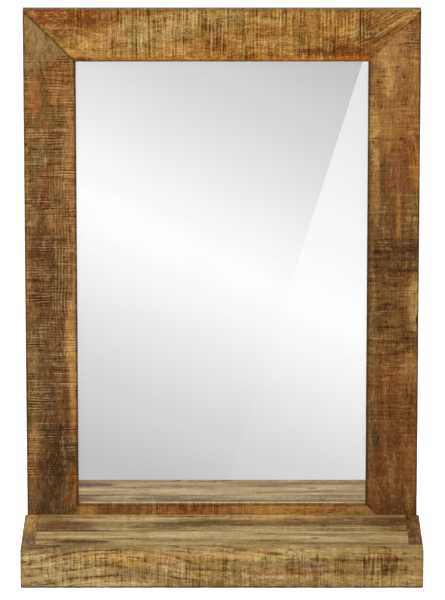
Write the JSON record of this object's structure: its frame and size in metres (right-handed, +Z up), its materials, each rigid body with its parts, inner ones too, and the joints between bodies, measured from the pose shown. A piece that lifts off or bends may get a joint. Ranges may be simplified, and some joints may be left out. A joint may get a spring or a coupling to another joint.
{
  "type": "bathroom mirror",
  "caption": "Upright rectangular wall mirror in a wide mitred timber frame, with a box-built timber ledge across its foot and keyhole hangers let into the back.",
  "frame": {"origin": "midway between the centres of the two round hanger holes, on the wall plane", "axes": "+Y into the wall, +Z up, +X to the right as a person faces the mirror"},
  "size_m": [0.506, 0.17, 0.71],
  "materials": {
    "frame_timber": "rough-sawn hardwood, satin oiled, warm brown with dark saw marks",
    "ledge_timber": "sawn hardwood, satin oiled, golden tan",
    "beech": "bare compressed beech",
    "mirror": "silvered float glass, polished edges",
    "packer_rubber": "matt black rubber",
    "hardboard": "brown hardboard, smooth face out",
    "zinc_steel": "bright zinc plated"
  },
  "bodies": {
    "root": {"top_rail": "frame_timber", "bottom_rail": "frame_timber", "left_stile": "frame_timber", "right_stile": "frame_timber", "top_left_biscuit": "beech", "top_right_biscuit": "beech", "bottom_left_biscuit": "beech", "bottom_right_biscuit": "beech", "mirror_glass": "mirror", "glass_packers": "packer_rubber", "backing_board": "hardboard", "backing_screws": "zinc_steel", "left_hanger_plate": "zinc_steel", "right_hanger_plate": "zinc_steel", "hanger_screws": "zinc_steel", "ledge_front_board": "ledge_timber", "ledge_left_side": "ledge_timber", "ledge_right_side": "ledge_timber", "ledge_rear_plank": "ledge_timber", "ledge_front_plank": "ledge_timber", "ledge_side_dowels": "beech", "ledge_plank_dowels": "beech", "ledge_front_dowels": "beech", "ledge_screws": "zinc_steel"}
  },
  "joints": []
}
